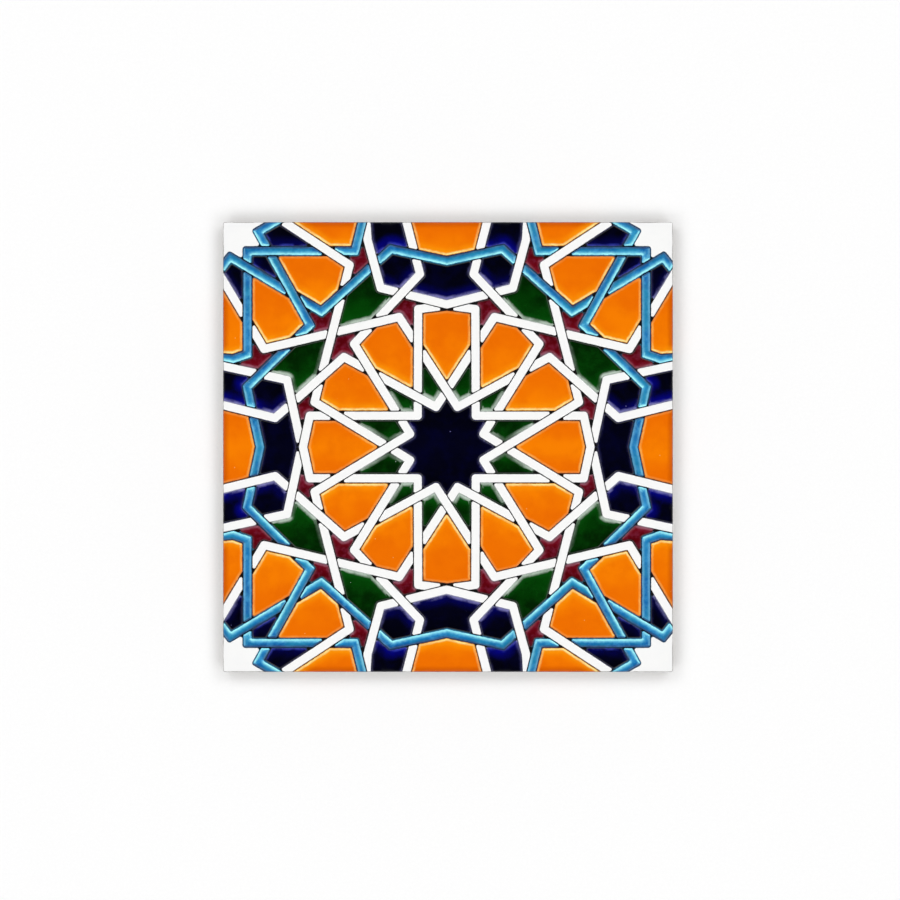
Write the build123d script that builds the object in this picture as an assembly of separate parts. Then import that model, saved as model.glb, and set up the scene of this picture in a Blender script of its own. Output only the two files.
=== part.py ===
from build123d import *
import math
import os

# One square glazed tile, lying face up. The origin is at the middle of the back, +Z points up.

# Driving dimensions, in millimetres and degrees.
tile_side = 200.0  # across the face, edge to edge
tile_thickness = 9.0  # from the back's ribs to the top of the glaze

# The edge, from the face down to the back.
corner_radius = 0.7  # corners of the square, seen from above
arris_radius = 0.5  # where the glaze rolls over from the face to the side
edge_band_height = 5.0  # upright band of the side, measured down from the face
back_draft_angle = 6.0  # lean of the side below that band, which lets the pressing leave its die
back_chamfer = 0.5  # along the bottom edge

# The keyed back, a square grid of shallow pockets with ribs between them.
pockets_per_side = 6
pocket_depth = 1.2
pocket_corner_radius = 2.5
pocket_wall_lean = 30.0  # from the upright, so that the mouth is wider than the floor
rib_width = 3.2  # between two pockets
back_border = 9.0  # plain border between the outer pockets and the bottom edge

# Worked out from the values above.
skirt_height = tile_thickness - edge_band_height
skirt_inset = (skirt_height - back_chamfer) * math.tan(math.radians(back_draft_angle))
back_side = tile_side - 2 * (skirt_inset + back_chamfer)
keyed_side = back_side - 2 * back_border
pocket_side = (keyed_side - (pockets_per_side - 1) * rib_width) / pockets_per_side
pocket_pitch = pocket_side + rib_width


def section(height, inset):
    """The tile's outline at a height above the bedding plane, moved in from the face's edge."""
    side = tile_side - 2 * inset
    return Plane.XY.offset(height) * RectangleRounded(side, side, corner_radius)


def make_pressed_body():
    """The pressed and glazed body: an upright band over a skirt that leans in, with eased edges."""
    band = extrude(section(skirt_height, 0), edge_band_height)
    band = fillet(band.edges().group_by(Axis.Z)[-1], arris_radius)
    skirt_sections = [
        section(skirt_height, 0),
        section(back_chamfer, skirt_inset),
        section(0, skirt_inset + back_chamfer),
    ]
    return band + loft(skirt_sections, ruled=True)


def make_key_studs():
    """The studs of the die that leave the pockets in the back, each narrower at its top."""
    mouth = RectangleRounded(pocket_side, pocket_side, pocket_corner_radius)
    stud = extrude(mouth, pocket_depth, taper=pocket_wall_lean)
    return GridLocations(pocket_pitch, pocket_pitch, pockets_per_side, pockets_per_side) * stud


def make_tile():
    """The fired tile, one solid piece with its glaze fused to the body."""
    return make_pressed_body() - make_key_studs()


os.makedirs("parts", exist_ok=True)
export_step(make_tile(), "parts/glazed_tile.step")
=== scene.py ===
"""A square glazed tile, face up: pools of coloured glaze between dark lines on a fired body."""

import logging
import math
from dataclasses import dataclass, field
from enum import Enum
from functools import reduce

import bpy
import numpy as np
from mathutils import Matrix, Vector, noise
from mathutils.bvhtree import BVHTree
from mathutils.geometry import delaunay_2d_cdt


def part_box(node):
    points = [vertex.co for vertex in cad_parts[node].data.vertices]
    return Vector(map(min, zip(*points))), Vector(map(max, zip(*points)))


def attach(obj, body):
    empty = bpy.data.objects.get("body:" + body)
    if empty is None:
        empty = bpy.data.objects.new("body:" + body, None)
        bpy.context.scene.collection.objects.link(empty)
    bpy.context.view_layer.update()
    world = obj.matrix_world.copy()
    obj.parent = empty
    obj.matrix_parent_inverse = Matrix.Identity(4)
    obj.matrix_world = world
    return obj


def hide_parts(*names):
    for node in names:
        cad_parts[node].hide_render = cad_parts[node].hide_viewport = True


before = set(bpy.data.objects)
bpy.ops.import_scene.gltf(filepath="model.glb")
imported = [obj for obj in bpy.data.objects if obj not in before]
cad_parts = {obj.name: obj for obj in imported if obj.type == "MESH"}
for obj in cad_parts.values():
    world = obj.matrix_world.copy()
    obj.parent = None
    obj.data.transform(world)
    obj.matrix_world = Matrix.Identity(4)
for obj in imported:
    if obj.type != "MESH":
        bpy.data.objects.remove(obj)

log = logging.getLogger("tile")

NODE = "glazed_tile"
ROOT = "root"
MM = 0.001  # the tile's sizes are in millimetres, and turn into metres as a mesh is made

Point = tuple[float, float]

SLACK = 1e-9  # of a run's length, for the rounding of numbers
HAIR = 1e-6  # what counts as no distance, in millimetres or as a share of a run
LEAST_ROUND = 1e-3  # a radius in millimetres or a turn in radians below this isn't rounded
PLAY = 0.02  # in millimetres, next to nothing beside any size of the pattern


class Glaze(Enum):
    """The glazes on the face, by their usual names."""

    WHITE = "white"
    TURQUOISE = "turquoise"
    ORANGE = "orange"
    COBALT = "cobalt"
    GREEN = "green"
    MAROON = "maroon"


@dataclass(frozen=True)
class Strand:
    """A strap's way through one quarter of the face.

    Attributes:
        glaze: What the strap is filled with.
        passes_over: The strands of the same quarter that it crosses on top of, in one string.
        corners: Distances left of the pattern's upright middle line and above its level one.
    """

    glaze: Glaze
    passes_over: str
    corners: tuple[Point, ...]


STRANDS = {
    "ring": Strand(
        Glaze.WHITE, "inner_fall outer_rise side_arch",
        ((63.9, 0.0), (60.9, 13.9), (12.9, 13.9), (12.7, 61.3), (0.0, 62.9)),
    ),
    "inner_fall": Strand(
        Glaze.WHITE, "inner_rise top_arch",
        ((18.3, 101.5), (11.9, 76.9), (41.2, 45.8), (16.3, 5.8)),
    ),
    "outer_fall": Strand(
        Glaze.WHITE, "corner_hook outer_rise ring",
        ((74.6, 101.5), (43.2, 80.9), (58.8, 20.0)),
    ),
    "inner_rise": Strand(
        Glaze.WHITE, "outer_fall corner_spear ring",
        ((101.5, 19.1), (76.3, 12.9), (45.7, 40.0), (4.8, 17.8)),
    ),
    "outer_rise": Strand(
        Glaze.WHITE, "corner_spear inner_fall crown",
        ((101.5, 77.5), (81.2, 43.6), (21.2, 57.8)),
    ),
    "top_arch": Strand(
        Glaze.WHITE, "crown ring",
        ((35.8, 101.5), (35.2, 92.0), (29.4, 70.7), (0.0, 63.4)),
    ),
    "side_arch": Strand(
        Glaze.WHITE, "inner_rise corner_hook",
        ((101.5, 36.4), (71.0, 29.8), (64.6, 0.0)),
    ),
    "corner_hook": Strand(
        Glaze.TURQUOISE, "corner_spear outer_rise top_arch",
        ((37.2, 101.5), (40.8, 87.1), (88.6, 87.1), (88.6, 41.3), (95.0, 39.1), (101.5, 39.6)),
    ),
    "crown": Strand(
        Glaze.TURQUOISE, "corner_hook outer_fall inner_fall",
        ((101.5, 77.8), (96.3, 84.4), (55.7, 60.2), (24.8, 88.0), (0.0, 82.7)),
    ),
    "corner_spear": Strand(
        Glaze.TURQUOISE, "crown side_arch outer_fall",
        ((73.9, 101.5), (83.9, 95.7), (60.8, 54.2), (88.8, 26.7), (83.0, 0.0)),
    ),
}


class MiddleLine(Enum):
    """The pattern's middle lines, each with the number of the axis that runs across it."""

    UPRIGHT = 0
    LEVEL = 1


class Quarter(Enum):
    """Which quarter of the face a thing is in: the signs that turn left and up into X and Y."""

    UPPER_LEFT = (-1, 1)
    UPPER_RIGHT = (1, 1)
    LOWER_LEFT = (-1, -1)
    LOWER_RIGHT = (1, -1)

    def past(self, line: MiddleLine) -> "Quarter":
        """Names the quarter on the other side of a middle line."""
        x, y = self.value
        return Quarter((-x, y) if line is MiddleLine.UPRIGHT else (x, -y))


def corners_in(quarter: Quarter, name: str) -> list[Point]:
    """Lists a strand's corners in the face's own X and Y, for one quarter."""
    across, up = quarter.value
    return [(across * left, up * above) for left, above in STRANDS[name].corners]


def rounded(spot: np.ndarray | Point, digits: int) -> Point:
    """Rounds a place, so that places that are meant to be one are told by the same numbers."""
    return (round(float(spot[0]), digits), round(float(spot[1]), digits))


def left_of(way: np.ndarray) -> np.ndarray:
    """Turns a way, or many as (2, count), to the left by a right angle."""
    return np.array([-way[1], way[0]])


def turned(way: np.ndarray, angle: float) -> np.ndarray:
    """Turns a way to its left by an angle."""
    cosine, sine = math.cos(angle), math.sin(angle)
    return np.array([way[0] * cosine - way[1] * sine, way[0] * sine + way[1] * cosine])


def cross(one: np.ndarray, other: np.ndarray) -> float | np.ndarray:
    """Gives the cross product of ways, which is positive where the other one turns left."""
    return one[0] * other[1] - one[1] * other[0]


def gaps_to_runs(spots: np.ndarray, starts: np.ndarray, ends: np.ndarray) -> np.ndarray:
    """Measures how far spots lie from straight runs.

    Args:
        spots: The places, as (spots, 2).
        starts: Where the runs start, as (runs, 2).
        ends: Where they end.

    Returns:
        The distance of each spot from each run, as (spots, runs).
    """
    runs = ends - starts
    offsets = spots[:, None, :] - starts[None]
    along = np.clip((offsets * runs).sum(2) / (runs * runs).sum(1), 0, 1)
    return np.linalg.norm(offsets - along[:, :, None] * runs, axis=2)


@dataclass
class Strap:
    """One whole strap, from edge to edge of the face or round in a ring.

    Attributes:
        names: The strands that it is made of, before and past the middle line that it crosses.
        corners: Its corners in the face's X and Y, about the pattern's middle.
        closed: Whether it comes back to its start.
        side: The coordinate, 0 or 1, that tells the two strands apart, and the first one's sign.
    """

    names: tuple[str, str]
    corners: np.ndarray
    closed: bool
    side: tuple[int, int]

    @property
    def glaze(self) -> Glaze:
        """The glaze that fills it."""
        return STRANDS[self.names[0]].glaze

    def gap(self, spots: np.ndarray) -> np.ndarray:
        """Measures how far spots lie from the strap's middle."""
        last = len(self.corners) if self.closed else -1
        return gaps_to_runs(spots, self.corners[:last], np.roll(self.corners, -1, axis=0)[:last]).min(1)

    def strand_at(self, spot: np.ndarray) -> str:
        """Names the strand that the strap follows at a spot of the face."""
        axis, sign = self.side
        return self.names[0] if spot[axis] * sign >= 0 else self.names[1]

    def is_over(self, other: "Strap", spot: np.ndarray) -> bool:
        """Tells whether this strap lies on top of another where both pass a spot.

        Args:
            other: The strap that crosses this one.
            spot: The place on the face.

        Returns:
            True where this one is on top. At the star's tips on the middle lines no strand has a
            say: there the strap that falls to the right is on top above and below the star, and
            the one that rises to the right is on top beside it.
        """
        mine, theirs = self.strand_at(spot), other.strand_at(spot)
        if theirs in STRANDS[mine].passes_over.split():
            return True
        if mine in STRANDS[theirs].passes_over.split():
            return False
        nearest = int(gaps_to_runs(spot[None], self.corners[:-1], self.corners[1:]).argmin())
        run = self.corners[nearest + 1] - self.corners[nearest]
        return bool((run[0] * run[1] > 0) == (abs(spot[0]) > abs(spot[1])))


def joined(quarter: Quarter, first: str, second: str, line: MiddleLine) -> Strap:
    """Joins a strand to another one, or to itself, in the next quarter.

    Args:
        quarter: Where the first strand is.
        first: The strand that the strap starts with.
        second: The strand that it goes on with past the middle line.
        line: The middle line that it crosses.

    Returns:
        The whole strap.
    """
    before = corners_in(quarter, first)
    past = corners_in(quarter.past(line), second)[::-1]
    axis = line.value
    if before[-1][axis] == 0:
        past = past[1:]
    return Strap((first, second), np.array(before + past), False, (axis, quarter.value[axis]))


PAST_EDGE = 6.0  # how far an open strap is drawn on beyond its last corner, which is off the tile


def all_straps() -> list[Strap]:
    """Lays out every strap of the face.

    Returns:
        The straps, with the ring as the last one.
    """
    straps = []
    for quarter in Quarter:
        straps.append(joined(quarter, "inner_fall", "outer_fall", MiddleLine.LEVEL))
        straps.append(joined(quarter, "inner_rise", "outer_rise", MiddleLine.UPRIGHT))
        hook = np.array(corners_in(quarter, "corner_hook"))
        straps.append(Strap(("corner_hook", "corner_hook"), hook, False, (0, 1)))
    for quarter in (Quarter.UPPER_LEFT, Quarter.LOWER_LEFT):
        straps.append(joined(quarter, "top_arch", "top_arch", MiddleLine.UPRIGHT))
        straps.append(joined(quarter, "crown", "crown", MiddleLine.UPRIGHT))
    for quarter in (Quarter.UPPER_LEFT, Quarter.UPPER_RIGHT):
        straps.append(joined(quarter, "side_arch", "side_arch", MiddleLine.LEVEL))
        straps.append(joined(quarter, "corner_spear", "corner_spear", MiddleLine.LEVEL))
    loop: list[Point] = []
    for quarter in (Quarter.UPPER_LEFT, Quarter.UPPER_RIGHT, Quarter.LOWER_RIGHT, Quarter.LOWER_LEFT):
        corners = corners_in(quarter, "ring")
        turns_back = quarter in (Quarter.UPPER_RIGHT, Quarter.LOWER_LEFT)
        loop += (corners[::-1] if turns_back else corners)[:-1]
    for strap in straps:
        for end, beside in ((0, 1), (-1, -2)):
            way = strap.corners[end] - strap.corners[beside]
            strap.corners[end] += PAST_EDGE * way / np.linalg.norm(way)
    straps.append(Strap(("ring", "ring"), np.array(loop), True, (0, 1)))
    return straps


@dataclass(frozen=True)
class StrapSection:
    """Sizes across a strap, in millimetres.

    Attributes:
        width: Of the glaze in the strap.
        line_width: Of the dark line left between two pools of glaze.
        white_rounds: Radii of the glaze outside and inside a white strap's corner.
        turquoise_rounds: The same at a turquoise strap's corner.
    """

    width: float = 3.72
    line_width: float = 0.36
    white_rounds: Point = (1.8, 0.12)
    turquoise_rounds: Point = (0.95, 0.45)

    @property
    def pool_half(self) -> float:
        """From the strap's middle to the edge of its own glaze."""
        return self.width / 2

    @property
    def field_half(self) -> float:
        """From the strap's middle to the edge of the glaze beside it."""
        return self.width / 2 + self.line_width

    def rounds(self, glaze: Glaze) -> Point:
        """Gives the radii outside and inside the corners of a strap with a glaze."""
        return self.white_rounds if glaze is Glaze.WHITE else self.turquoise_rounds


ARC_STEP = math.radians(14)  # of turn, for each short run that makes an arc


def fillet(corner: np.ndarray, into: np.ndarray, out: np.ndarray, radius: float) -> list[np.ndarray]:
    """Rounds one corner of a line.

    Args:
        corner: The sharp corner.
        into: Unit direction of the line that comes in.
        out: Unit direction of the line that goes out.
        radius: Of the arc.

    Returns:
        The points of the arc, or the corner alone where there is nothing to round.
    """
    turn = math.atan2(cross(into, out), float(into @ out))
    if min(radius, abs(turn)) < LEAST_ROUND:
        return [corner]
    start = corner - into * (radius * math.tan(abs(turn) / 2))
    centre = start + radius * math.copysign(1.0, turn) * left_of(into)
    steps = max(2, math.ceil(abs(turn) / ARC_STEP))
    return [centre + turned(start - centre, turn * step / steps) for step in range(steps + 1)]


def directions(points: np.ndarray, closed: bool) -> np.ndarray:
    """Gives the unit direction of each run of a line.

    Args:
        points: The line's points.
        closed: Whether the last point is joined to the first.

    Returns:
        The directions.
    """
    nexts = np.roll(points, -1, axis=0) if closed else points[1:]
    runs = nexts - points[: len(nexts)]
    return runs / np.linalg.norm(runs, axis=1)[:, None]


def offset_line(strap: Strap, side: int, half: float, section: StrapSection) -> np.ndarray:
    """Draws the line that keeps a fixed distance from a strap's middle.

    Args:
        strap: The strap that it follows.
        side: 1 for the left of the strap, -1 for its right.
        half: The distance from the strap's middle.
        section: The strap's sizes, which say how its corners are rounded.

    Returns:
        The line's points, with the first repeated at the end if the strap is closed.
    """
    outer_round, inner_round = section.rounds(strap.glaze)
    runs = directions(strap.corners, strap.closed)
    points: list[np.ndarray] = []
    for index, corner in enumerate(strap.corners):
        if not strap.closed and index in (0, len(runs)):
            points.append(corner + side * half * left_of(runs[0] if index == 0 else runs[-1]))
            continue
        into, out = runs[index - 1], runs[index]
        left_in, left_out = left_of(into), left_of(out)
        mitre = corner + side * half * (left_in + left_out) / (1 + float(left_in @ left_out))
        if (cross(into, out) > 0) == (side > 0):
            radius = section.pool_half - half + inner_round
        else:
            radius = half - section.pool_half + outer_round
        points += fillet(mitre, into, out, max(radius, 0.0))
    return np.array(points + points[:1] if strap.closed else points)


def inside_polygon(spots: np.ndarray, polygon: np.ndarray) -> np.ndarray:
    """Tells which spots lie inside a polygon, by counting the sides to their right.

    Args:
        spots: The places.
        polygon: Its corners.

    Returns:
        Whether each spot lies inside.
    """
    x, y = spots[:, 0][:, None], spots[:, 1][:, None]
    x0, y0 = polygon[:, 0], polygon[:, 1]
    x1, y1 = np.roll(x0, -1), np.roll(y0, -1)
    spans = (y0 > y) != (y1 > y)
    rise = np.where(y1 == y0, 1.0, y1 - y0)
    cross_x = x0 + (y - y0) * (x1 - x0) / rise
    return (np.count_nonzero(spans & (x < cross_x), axis=1) % 2).astype(bool)


class Network:
    """The straps of the face, and the lines at any distance inside the pools between their edges."""

    def __init__(self, section: StrapSection) -> None:
        """Lays the straps out with the given section."""
        self.section = section
        self.straps = all_straps()

    def band_holds(self, strap: Strap, half: float, spots: np.ndarray) -> np.ndarray:
        """Tells which spots lie within a distance of a strap's middle, its rounded corners included.

        Args:
            strap: The strap.
            half: The distance.
            spots: The places.

        Returns:
            Whether each spot lies within it.
        """
        left = offset_line(strap, 1, half, self.section)
        right = offset_line(strap, -1, half, self.section)
        near = strap.gap(spots) < half - HAIR
        if strap.closed:
            in_left, in_right = inside_polygon(spots, left[:-1]), inside_polygon(spots, right[:-1])
            return near | (in_left ^ in_right)
        return near | inside_polygon(spots, np.concatenate([left, right[::-1]]))

    def runs_at(self, inset: float) -> tuple[np.ndarray, np.ndarray, np.ndarray]:
        """Collects the lines that may bound the pools, shrunk by an inset.

        Args:
            inset: How far inside each pool's edge the lines run.

        Returns:
            The runs' ends as (count, 2, 2), which strap each follows, and whether each bounds the
            strap's own pool. Every run has the pool that it bounds on its left.
        """
        runs, owners, own = [], [], []
        for index, strap in enumerate(self.straps):
            for side in (1, -1):
                for inner in (True, False):
                    half = self.section.pool_half - inset if inner else self.section.field_half + inset
                    line = offset_line(strap, side, half, self.section)
                    if inner == (side > 0):
                        line = line[::-1]
                    pairs = np.stack([line[:-1], line[1:]], axis=1)
                    runs.append(pairs)
                    owners += [index] * len(pairs)
                    own += [inner] * len(pairs)
        return np.concatenate(runs), np.array(owners), np.array(own)

    def outlines(self, inset: float) -> tuple[np.ndarray, np.ndarray]:
        """Finds the outlines of all pools, shrunk by an inset.

        Args:
            inset: How far inside each pool's edge the outlines run.

        Returns:
            The outlines' runs as (count, 2, 2), each with its pool on the left, and the strap whose
            pool each bounds, or -1 for a field between straps.
        """
        runs, owners, own = self.runs_at(inset)
        runs, source = split_at_crossings(runs)
        owners, own = owners[source], own[source]
        middles = runs.mean(axis=1)
        straps, half = self.straps, self.section.field_half + inset
        wide = [self.band_holds(s, half, middles) for s in straps]
        slim = [self.band_holds(s, self.section.pool_half - inset, middles) for s in straps]
        clear = half * math.cos(ARC_STEP / 2) - PLAY  # a line nearer to its strap's middle is in it
        kept, bounds = [], []
        for index, (spot, owner) in enumerate(zip(middles, owners)):
            strap, bound = straps[owner], None
            covering = [k for k in range(len(straps)) if wide[k][index] and k != owner]
            if own[index]:
                if not any(straps[k].is_over(strap, spot) for k in covering):
                    bound = owner
            elif covering:
                top = self.top_of(covering, spot)
                if slim[top][index] and strap.is_over(straps[top], spot):
                    bound = top
            elif strap.gap(spot[None])[0] >= clear:
                bound = -1
            if bound is not None:
                kept.append(index)
                bounds.append(bound)
        return runs[kept], np.array(bounds)

    def top_of(self, numbers: list[int], spot: np.ndarray) -> int:
        """Picks the number of the strap that lies on top of the others at a spot."""
        straps = self.straps
        return reduce(lambda top, k: k if straps[k].is_over(straps[top], spot) else top, numbers)


def split_at_crossings(runs: np.ndarray) -> tuple[np.ndarray, np.ndarray]:
    """Cuts straight runs wherever two of them cross.

    Args:
        runs: The runs' ends as (count, 2, 2).

    Returns:
        The cut runs, and for each the index of the run that it came from.
    """
    starts, ends = runs[:, 0], runs[:, 1]
    way = ends - starts
    marks = [[(0.0, tuple(start)), (1.0, tuple(end))] for start, end in runs]
    for index in range(len(runs) - 1):
        ways, gaps = way[index + 1:].T, (starts[index + 1:] - starts[index]).T
        crossed = cross(way[index], ways)
        aslant = np.abs(crossed) >= SLACK
        safe = np.where(aslant, crossed, np.inf)
        here, there = cross(gaps, ways) / safe, cross(gaps, way[index]) / safe
        within = (here > -SLACK) & (here < 1 + SLACK) & (there > -SLACK) & (there < 1 + SLACK)
        for other in np.nonzero(aslant & within)[0]:
            spot = rounded(starts[index] + way[index] * here[other], 7)
            for run, share in ((index, here[other]), (index + 1 + other, there[other])):
                if HAIR < share < 1 - HAIR:
                    marks[run].append((float(share), spot))
    pieces, source = [], []
    for index, marked in enumerate(marks):
        places = [place for _, place in sorted(marked)]
        for a, b in zip(places[:-1], places[1:]):
            if math.dist(a, b) > 10 * HAIR:
                pieces.append((a, b))
                source.append(index)
    return np.array(pieces), np.array(source)


# A spot in each field of one quarter, as distances left of the pattern's middle and above it.
FIELDS = {
    Glaze.WHITE: ((95.0, 95.6),),
    Glaze.ORANGE: (
        (57.2, 75.6), (77.2, 60.0), (95.9, 55.6), (55.0, 94.7), (0.8, 46.7), (26.1, 42.2),
        (43.9, 26.7), (48.3, 0.1), (0.8, 94.7), (94.1, 4.4),
    ),
    Glaze.COBALT: (
        (68.3, 93.3), (80.8, 81.3), (94.1, 73.3), (21.7, 77.8), (78.1, 23.1), (25.2, 94.7),
        (95.0, 28.9), (0.8, 73.3), (74.1, 4.4), (0.5, 0.5),
    ),
    Glaze.GREEN: ((37.2, 62.2), (63.9, 35.6), (7.9, 28.9), (18.6, 20.0), (28.3, 8.9)),
    Glaze.MAROON: ((56.3, 54.2), (39.4, 82.2), (83.9, 40.9), (46.1, 46.7), (17.2, 62.2), (63.0, 17.8)),
}


def chains_of(runs: np.ndarray, bounds: np.ndarray) -> list[tuple[np.ndarray, bool, int]]:
    """Links loose runs end to end.

    Args:
        runs: The runs' ends as (count, 2, 2), each with its pool on the left.
        bounds: The pool that each run bounds.

    Returns:
        For each chain its points, whether it closes on itself, and the pool that it bounds.
    """
    keys = [(rounded(start, 5), rounded(end, 5), int(bound)) for (start, end), bound in zip(runs, bounds)]
    starts = {(start, bound): index for index, (start, _, bound) in enumerate(keys)}
    followed = {key[1:] for key in keys}
    fresh = [index for index, (start, _, bound) in enumerate(keys) if (start, bound) not in followed]
    used: set[int] = set()
    chains = []
    for first in fresh + list(range(len(runs))):
        if first in used:
            continue
        points, index = [runs[first][0]], first
        while index is not None and index not in used:
            used.add(index)
            points.append(runs[index][1])
            index = starts.get(keys[index][1:])
        closed = keys[first][0] == rounded(points[-1], 5)
        chains.append((np.array(points[:-1] if closed else points), closed, int(bounds[first])))
    return chains


SMALL_TURN = math.radians(22)  # a corner that turns less than this stays a corner


def widened(points: np.ndarray, closed: bool, by: float) -> np.ndarray:
    """Moves a chain outwards, to its right, with round corners.

    Args:
        points: The chain's points, its pool on the left.
        closed: Whether the chain closes on itself.
        by: How far to move it.

    Returns:
        The moved chain's points, with the first repeated at the end if it is closed.
    """
    if by <= 0:
        return np.concatenate([points, points[:1]]) if closed else points
    right = -left_of(directions(points, closed).T).T
    moved: list[np.ndarray] = []
    for index, corner in enumerate(points):
        if not closed and index in (0, len(right)):
            moved.append(corner + by * (right[0] if index == 0 else right[-1]))
            continue
        before, after = right[index - 1], right[index]
        turn = math.atan2(cross(before, after), float(before @ after))
        if turn < SMALL_TURN:
            moved.append(corner + by * (before + after) / (1 + float(before @ after)))
            continue
        steps = math.ceil(turn / ARC_STEP)
        moved += [corner + by * turned(before, turn * step / steps) for step in range(steps + 1)]
    return np.array(moved + moved[:1] if closed else moved)


def rounded_square(half: float, radius: float, per_side: int) -> np.ndarray:
    """Draws a square with round corners, counter-clockwise, as evenly spaced points.

    Args:
        half: Half the square's side.
        radius: Of its corners.
        per_side: How many runs each straight side is made of.

    Returns:
        The points, without the first repeated at the end.
    """
    centre = half - radius
    straight = [(half, centre * (2 * i / per_side - 1)) for i in range(per_side)]
    steps = [math.pi / 2 * i / 5 for i in range(5)]
    arc = [(centre + radius * math.cos(a), centre + radius * math.sin(a)) for a in steps]
    sides = [np.array(straight + arc).T]
    for _ in range(3):
        sides.append(left_of(sides[-1]))
    return np.concatenate(sides, axis=1).T


def cut_short(line: np.ndarray, step: float) -> np.ndarray:
    """Divides a line's runs so that none is longer than a step.

    Args:
        line: The line's points.
        step: The longest run.

    Returns:
        The points of the divided line.
    """
    points = [line[0]]
    for start, end in zip(line[:-1], line[1:]):
        pieces = max(1, math.ceil(math.dist(start, end) / step))
        points += [start + (end - start) * (i + 1) / pieces for i in range(pieces)]
    return np.array(points)


@dataclass(frozen=True)
class Relief:
    """How the glaze stands on the body, in millimetres.

    Attributes:
        body_top: Height of the dark lines on the fired body.
        sunk: How far each pool's closed underside lies below that.
        rim: Height of the glaze right at a pool's edge.
        strap_top: Height of a strap's glaze behind its rounded rim.
        field_top: The same for the fields between the straps.
        crown: How much more a strap stands up along its middle.
        swell: How much more a large field stands up away from its rim.
        swell_reach: How far away that is.
        meniscus: How far from a pool's edge the glaze reaches its height.
        ripple: Half the height of the slow unevenness left by the brush and the kiln.
        ripple_sizes: Widths of its broad waves and of the fine ones, which are half as high.
        strap_round: Radius of the corners of a strap's pool.
        field_round: Radius of the corners of a field's pool.
        edge_steps: Distances from a pool's edge at which its rounded rim has a line of points.
        strap_steps: Such distances further in, on the straps.
        field_steps: The same in the fields.
        arris: Radius where the face rolls over to the side.
        arris_steps: Distances from the tile's edge at which it has a line of points.
        step: The longest run along any of these lines.
    """

    body_top: float = 8.52
    sunk: float = 0.1
    rim: float = 8.57
    strap_top: float = 8.9
    field_top: float = 8.78
    crown: float = 0.08
    swell: float = 0.1
    swell_reach: float = 7.0
    meniscus: float = 0.55
    ripple: float = 0.018
    ripple_sizes: Point = (9.0, 3.5)
    strap_round: float = 0.7
    field_round: float = 0.9
    edge_steps: tuple[float, ...] = (0.0, 0.06, 0.17, 0.35, 0.6)
    strap_steps: tuple[float, ...] = (0.95, 1.4)
    field_steps: tuple[float, ...] = (1.4, 2.0, 2.8, 3.8)
    arris: float = 0.5
    arris_steps: tuple[float, ...] = (0.0, 0.04, 0.15, 0.31, 0.5)
    step: float = 2.2


@dataclass(frozen=True)
class TileSize:
    """The tile's overall sizes, in millimetres.

    Attributes:
        side: Across the face.
        thickness: From the bedding plane to the top of the glaze.
        corner: Radius of the square's corners.
        pattern_left: How far the pattern's middle lies to the left of the tile's.
    """

    side: float
    thickness: float
    corner: float = 0.7
    pattern_left: float = 0.55


LEVEL_REACH = 12.0  # edges nearer to the level middle line than this face it less and less
AVERTED = 6.0  # an edge that doesn't face that line counts as this much further off
CORNER_REACH = (50.0, 64.0)  # how far from both middle lines a corner of the tile starts and is whole


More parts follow.
